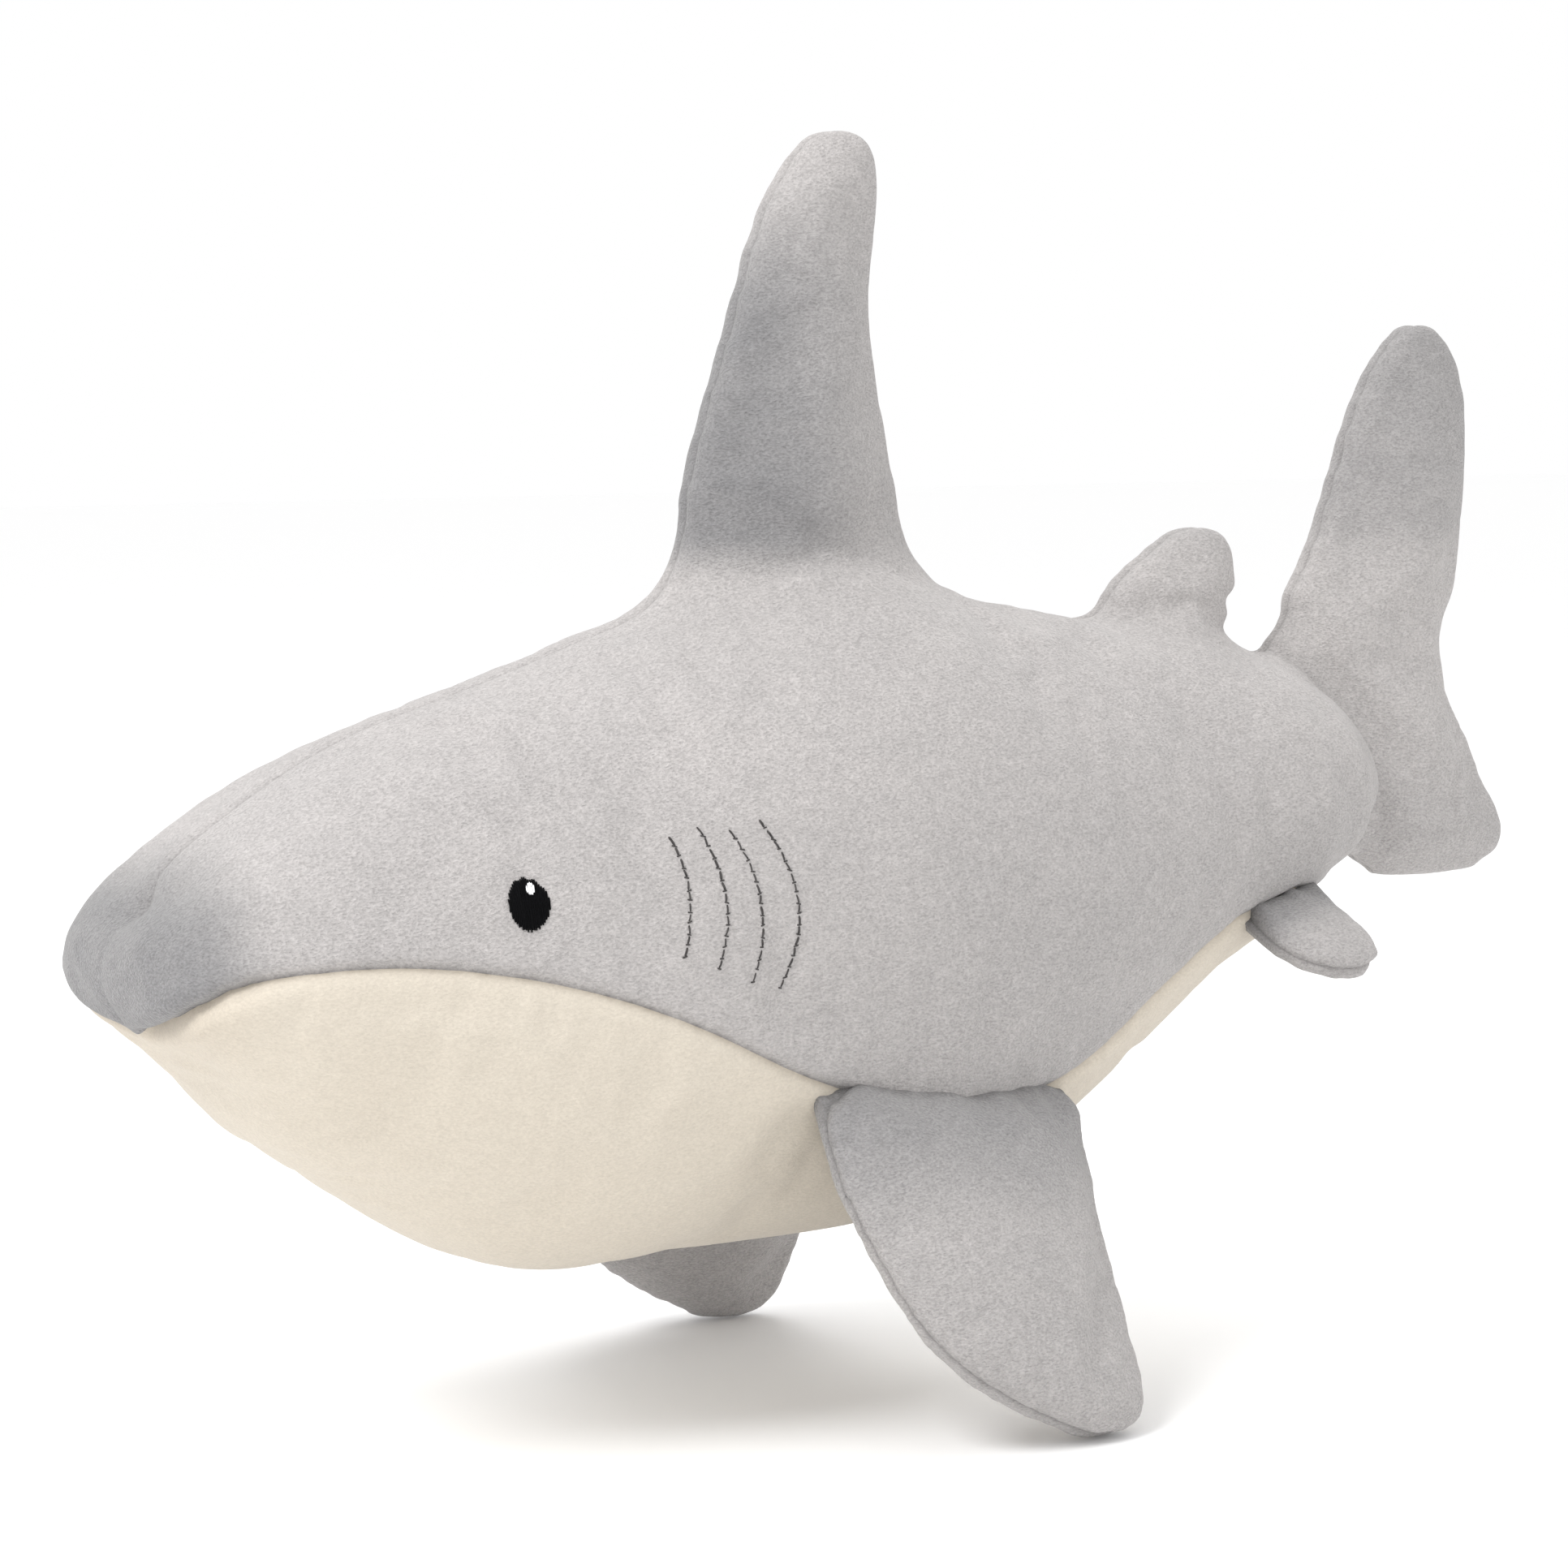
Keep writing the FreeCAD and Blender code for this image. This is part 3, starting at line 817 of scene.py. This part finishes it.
def body_panels(mesh):
    """Which faces of the cut skin belong to which cloth panel."""
    centres = centres_of(mesh)
    is_tail = nearer_tail(centres) > 0
    is_belly = (above_belly(centres) <= 0) & ~is_tail
    is_left = centres[:, 1] < 0
    grey = ~is_belly & ~is_tail
    return {
        "side_left_cloth": grey & is_left,
        "side_right_cloth": grey & ~is_left,
        "belly_cloth": is_belly,
        "tail_left_cloth": is_tail & is_left,
        "tail_right_cloth": is_tail & ~is_left,
    }


BODY_PANELS = body_panels(BODY_SKIN.data)
sew_body()
LEFT, RIGHT, BELLY, TAIL_LEFT, TAIL_RIGHT = [
    panel(name, BODY_SKIN.data, chosen) for name, chosen in BODY_PANELS.items()
]
BODY_TREE = BVHTree.FromPolygons(
    [Vector(point) for point in points_of(BODY_SKIN.data)],
    [tuple(face.vertices) for face in BODY_SKIN.data.polygons],
)
bpy.data.objects.remove(BODY_SKIN)
finish_piece(LEFT, GREY_PLUSH, "grey_plush", "side_panel_left")
finish_piece(RIGHT, GREY_PLUSH, "grey_plush", "side_panel_right")
finish_piece(BELLY, CREAM_PLUSH, "cream_plush", "belly_panel", "body_stuffing")
finish_piece(TAIL_LEFT, GREY_PLUSH, "grey_plush", "tail_skin", "tail_stuffing")
finish_piece(TAIL_RIGHT, GREY_PLUSH, "grey_plush")
for cloth in (LEFT, RIGHT, BELLY):
    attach(cloth, "body")
TAIL_HINGE = Vector(JOINTS["tail_swing"]["pos_m"])
TAIL_START = TAIL_HINGE - Vector((6 * MM, 0, 0))
TAIL_END = TAIL_HINGE + Vector((20 * MM, 0, 0))
for cloth in (TAIL_LEFT, TAIL_RIGHT):
    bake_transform(cloth, "body", "tail", start=TAIL_START, end=TAIL_END)


# ---------------------------------------------------------------------------------------------
# Fins that move
# ---------------------------------------------------------------------------------------------


def sink_root(mesh, reach, sunk):
    """Draw the end of a fin that faces the body on into the body."""
    full_draw = 0.45
    points = points_of(mesh)
    for index, point in enumerate(points):
        place, _, _, gap = BODY_TREE.find_nearest(point, 2 * reach)
        if place is None or gap > reach:
            continue
        share = float(smoothstep(gap, reach, full_draw * reach))
        toward = (place - Vector(point)).normalized()
        points[index] = Vector(point) + toward * (gap + sunk) * share
    set_points(mesh, points)


def round_corner(mesh, hinge, along, outward, size):
    """Draw in the sharp corner where a fin's front edge meets the body."""
    drawn_share, deep, long = 0.75, 1.6 * size, 1.5 * size
    points = points_of(mesh)
    relative = points - np.array(hinge)
    depth = relative @ np.array(outward)
    back = relative @ np.array(along)
    share = (1 - smoothstep(depth, 0, deep)) * (1 - smoothstep(back, 0, long))
    set_points(mesh, points + np.outer(share * drawn_share * size, np.array(along)))


def root_fold_shade(mesh):
    """How much painted shade each point of a fin gets in the fold where it leaves the body."""
    reach, width = 6 * MM, 1.3 * MM
    shade = np.zeros(len(mesh.vertices))
    for index, point in enumerate(points_of(mesh)):
        place, _, _, gap = BODY_TREE.find_nearest(point, reach)
        if place is not None:
            shade[index] = math.exp(-((gap / width) ** 2))
    return shade


def fin_depth(places):
    """The seams of the fins are sunk evenly."""
    return 0.9 * MM * np.ones(len(places))


def fin_skin(name, side_of, hinge, along, outward):
    """The closed skin of a stuffed fin, with its root in the body, cut along its seam."""
    root_reach, root_sunk = 8 * MM, 3 * MM
    nodes = [f"{name}_outer_panel", f"{name}_inner_panel", f"{name}_stuffing"]
    skin = remeshed(name, nodes, voxel=3 * MM)
    mesh = skin.data
    relax(mesh, rounds=10)
    held = 1 - smoothstep(np.abs(side_of(points_of(mesh))), 1 * MM, 4 * MM)
    puff(skin, held, pressure=2.5, cap=2.2 * MM)
    round_corner(mesh, hinge, along, outward, root_reach)
    sink_root(mesh, root_reach, root_sunk)
    relax(mesh, rounds=2)
    subdivide(skin, 1)
    mesh = skin.data
    part_along(mesh, side_of)
    seam = rim_of(mesh, side_of)
    seam_gap = sew(mesh, seam, fin_depth, width=1.3 * MM, pucker=0.35 * MM, seed=len(name))
    # painted shade along the fin's seam and in the fold where it leaves the body
    crease = 0.45 * bell(seam_gap, 0.7 * MM) + 0.55 * root_fold_shade(mesh)
    paint_shade_and_nap(mesh, "crease", np.clip(crease, 0, 1))
    return skin


def hanging_fin(kind, side, length):
    """A stuffed fin of two panels whose root stays sewn to the body while its blade swings."""
    name = f"{kind}_{side}"
    joint = JOINTS[f"{name}_flap"]
    hinge = Vector(joint["pos_m"])
    along = Vector(joint["axis"])
    if along.x < 0:
        along = -along
    solid = points_of(frame["nodes"][f"{name}_stuffing"].data)
    relative = solid - np.array(hinge)
    drop = relative - np.outer(relative @ np.array(along), np.array(along))
    outward = Vector(drop.mean(0)).normalized()
    across = outward.cross(along) * (-SIDES[side])
    offset = float(np.median(relative @ np.array(across)))

    def side_of(points):
        return (np.asarray(points) - np.array(hinge)) @ np.array(across) - offset

    bend = outward * length * 0.35
    skin = fin_skin(name, side_of, hinge, along, bend.normalized())
    mesh = skin.data
    depth = (points_of(mesh) - np.array(hinge)) @ np.array(outward)
    nap = 0.26 + 0.5 * (1 - smoothstep(depth, 0.1 * length, 0.5 * length))
    paint_shade_and_nap(mesh, "nap", nap)
    sides = side_of(centres_of(mesh))
    panels = (
        (f"{name}_outer_cloth", 1, (f"{name}_outer_panel", f"{name}_stuffing")),
        (f"{name}_inner_cloth", -1, (f"{name}_inner_panel",)),
    )
    for label, sign, replaced in panels:
        cloth = panel(label, mesh, sign * sides > 0)
        finish_piece(cloth, GREY_PLUSH, "grey_plush", *replaced)
        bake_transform(cloth, "body", name, start=hinge, end=hinge + bend)
    bpy.data.objects.remove(skin)


for side in SIDES:
    hanging_fin("pectoral", side, length=90 * MM)
    hanging_fin("pelvic", side, length=34 * MM)


# ---------------------------------------------------------------------------------------------
# Embroidery
# ---------------------------------------------------------------------------------------------


def on_side(x, z, sign):
    """The point of the body's side at one place and level, and the outward normal there."""
    outside = 0.3
    start = Vector((x, sign * outside, z))
    place, normal, _, _ = BODY_TREE.ray_cast(start, Vector((0, -sign, 0)))
    if normal.y * sign < 0:
        normal = -normal
    return place, normal


def add_strand(work, path, lifts, radius, normals):
    """A thread along a path: a tube whose middle is lifted off the cloth and whose ends dive in."""
    sides = 6
    end_thinness = 0.62
    rings = []
    last = len(path) - 1
    for index, point in enumerate(path):
        along = (path[min(index + 1, last)] - path[max(index - 1, 0)]).normalized()
        up = normals[index]
        across = along.cross(up).normalized()
        up = across.cross(along)
        centre = point + normals[index] * lifts[index]
        thin = radius * (end_thinness if index in (0, last) else 1.0)
        ring = []
        for corner in range(sides):
            angle = 2 * math.pi * corner / sides
            place = centre + across * thin * math.cos(angle) + up * thin * math.sin(angle)
            ring.append(work.verts.new(place))
        rings.append(ring)
    for one, two in zip(rings, rings[1:]):
        for corner in range(sides):
            following = (corner + 1) % sides
            work.faces.new((one[corner], one[following], two[following], two[corner]))
    work.faces.new(rings[0][::-1])
    work.faces.new(rings[-1])


def thread_piece(name, work, material, slot_name, node):
    """Make one piece of embroidery from its strands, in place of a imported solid."""
    bmesh.ops.recalc_face_normals(work, faces=work.faces)
    for face in work.faces:
        face.smooth = True
    mesh = bpy.data.meshes.new(name)
    work.to_mesh(mesh)
    work.free()
    piece = new_object(name, mesh)
    finish_piece(piece, material, slot_name, node)
    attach(piece, "body")


def gill_curve(node):
    """The lowest and highest level of a packed gill row, and the bowed curve it follows."""
    solid = points_of(frame["nodes"][node].data)
    low, high = solid[:, 2].min(), solid[:, 2].max()
    slice_half = (high - low) / 12
    levels = np.linspace(low, high, num=14)
    places = []
    for level in levels:
        near = np.abs(solid[:, 2] - level) < slice_half
        places.append(solid[near, 0].mean())
    return low, high, np.polyfit(levels, places, deg=2)


def gill(side, number):
    """One bowed row of running stitches, with a small knot of thread after each."""
    pitch = 2.6 * MM
    steps = 6
    fullness = 0.6
    dive = 0.3 * MM
    node = f"gill_stitch_{side}_{number}"
    low, high, curve = gill_curve(node)
    count = round((high - low) / pitch)
    work = bmesh.new()

    def strand(start, end, lean, radius, lift):
        path, normals, lifts = [], [], []
        for step in range(steps + 1):
            level = start + (end - start) * step / steps
            aside = lean * (step / steps - 0.5)
            place, normal = on_side(float(np.polyval(curve, level)) + aside, level, SIDES[side])
            path.append(place)
            normals.append(normal)
            lifts.append(lift * math.sin(math.pi * step / steps) ** fullness - dive)
        add_strand(work, path, lifts, radius, normals)

    # the sines make the stitches uneven in length, thickness, lean and knot
    for stitch in range(count):
        length = 0.86 + 0.08 * math.sin(3.3 * stitch + number)
        thick = 1 + 0.2 * math.sin(5.7 * stitch + 2 * number)
        lean = 0.5 * MM * math.sin(2.4 * stitch + number)
        slope = 0.25 * MM * math.sin(4.1 * stitch + number)
        top = high - (high - low) * stitch / count
        bottom = high - (high - low) * (stitch + length) / count
        strand(top, bottom, lean, radius=0.27 * MM * thick, lift=0.42 * MM)
        strand(bottom + slope, bottom - slope, lean=1.5 * MM, radius=0.2 * MM, lift=0.5 * MM)
    thread_piece(f"gill_{side}_{number}_thread", work, GREY_THREAD, "dark_grey_thread", node)


def satin_oval(node, side, pitch, lift, material, slot_name, seed):
    """An oval of upright satin stitches, crowned in the middle, with an uneven edge."""
    steps = 10
    uneven = 0.05
    margin = dive = 0.1 * MM
    thickness = 0.62 * pitch
    overhang = 0.3 * pitch
    least = 0.02
    low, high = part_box(node)
    centre = (low + high) / 2
    half_width, half_height = (high.x - low.x) / 2, (high.z - low.z) / 2
    work = bmesh.new()
    count = int(half_width / pitch)
    for row in range(-count, count + 1):
        offset = row * pitch
        crown = 1 - (offset / half_width) ** 2 * 0.5
        roundness = 1 - (offset / (half_width + overhang)) ** 2
        reach = half_height * math.sqrt(max(roundness, least))
        top = reach * (1 + uneven * math.sin(5.1 * row + seed)) + margin
        bottom = reach * (1 + uneven * math.sin(3.7 * row + 2 * seed)) + margin
        path, normals, lifts = [], [], []
        for step in range(steps + 1):
            level = centre.z + top - (top + bottom) * step / steps
            place, normal = on_side(centre.x + offset, level, SIDES[side])
            path.append(place)
            normals.append(normal)
            arch = math.sin(math.pi * (step + 0.4) / (steps + 0.8)) ** 0.5
            lifts.append(lift * crown * arch - dive)
        add_strand(work, path, lifts, thickness, normals)
    thread_piece(f"{node}_satin", work, material, slot_name, node)


for side in SIDES:
    satin_oval(f"eye_{side}", side, 0.46 * MM, 0.9 * MM, BLACK_THREAD, "black_thread", seed=1.0)
    satin_oval(
        f"eye_glint_{side}", side, 0.4 * MM, 1.35 * MM, WHITE_THREAD, "white_thread", seed=2.0
    )
    for number in range(1, 5):
        gill(side, number)


# ---------------------------------------------------------------------------------------------
# Floor, lights and camera
# ---------------------------------------------------------------------------------------------


def look_from(azimuth, elevation, distance, target):
    turn, rise = math.radians(azimuth), math.radians(elevation)
    flat = math.cos(rise)
    back = Vector((math.sin(turn) * flat, -math.cos(turn) * flat, math.sin(rise)))
    return target + back * distance, (-back).to_track_quat("-Z", "Y")


def area_light(name, target, azimuth, elevation, distance, size, power):
    data = bpy.data.lights.new(name, "AREA")
    data.shape = "DISK"
    data.size = size
    data.energy = power
    lamp = bpy.data.objects.new(name, data)
    bpy.context.scene.collection.objects.link(lamp)
    lamp.rotation_mode = "QUATERNION"
    lamp.location, lamp.rotation_quaternion = look_from(azimuth, elevation, distance, target)


def build_floor():
    reach = 6.0
    corners = [(-reach, -reach, 0), (reach, -reach, 0), (reach, reach, 0), (-reach, reach, 0)]
    mesh = bpy.data.meshes.new("floor")
    mesh.from_pydata(corners, [], [(0, 1, 2, 3)])
    floor = new_object("floor", mesh)
    pale = bpy.data.materials.new("pale_floor")
    pale.use_nodes = True
    shader = pale.node_tree.nodes["Principled BSDF"]
    shader.inputs["Base Color"].default_value = (0.99, 0.99, 0.99, 1)
    shader.inputs["Roughness"].default_value = 0.9
    mesh.materials.append(pale)


def build_lights(target):
    """A bright white surround, and three soft lamps at azimuths and elevations in degrees."""
    world = bpy.data.worlds.new("studio")
    world.use_nodes = True
    background = world.node_tree.nodes["Background"]
    background.inputs["Color"].default_value = (1.0, 1.0, 1.0, 1)
    background.inputs["Strength"].default_value = 1.0
    bpy.context.scene.world = world
    area_light("key", target, azimuth=-75, elevation=45, distance=1.6, size=0.6, power=14)
    area_light("fill", target, azimuth=20, elevation=25, distance=1.8, size=1.4, power=2)
    area_light("back", target, azimuth=150, elevation=50, distance=1.6, size=1.0, power=5)


def build_camera(target):
    """The picture's camera: turn, rise, distance and lens, fitted to the outline."""
    data = bpy.data.cameras.new("camera")
    data.sensor_width = 36
    data.lens = 103.8
    data.clip_end = 30
    camera = bpy.data.objects.new("camera", data)
    bpy.context.scene.collection.objects.link(camera)
    camera.rotation_mode = "QUATERNION"
    place, turn = look_from(azimuth=-34.28, elevation=5.57, distance=1.1675, target=target)
    camera.location = place
    camera.rotation_quaternion = turn
    bpy.context.scene.camera = camera


MIDDLE = (CAD_LOW + CAD_HIGH) / 2
TARGET = Vector((MIDDLE.x - 27.2 * MM, 0, MIDDLE.z - 3.5 * MM))
build_floor()
build_lights(TARGET)
build_camera(TARGET)
bpy.context.scene.view_settings.view_transform = "Standard"

bpy.context.view_layer.update()
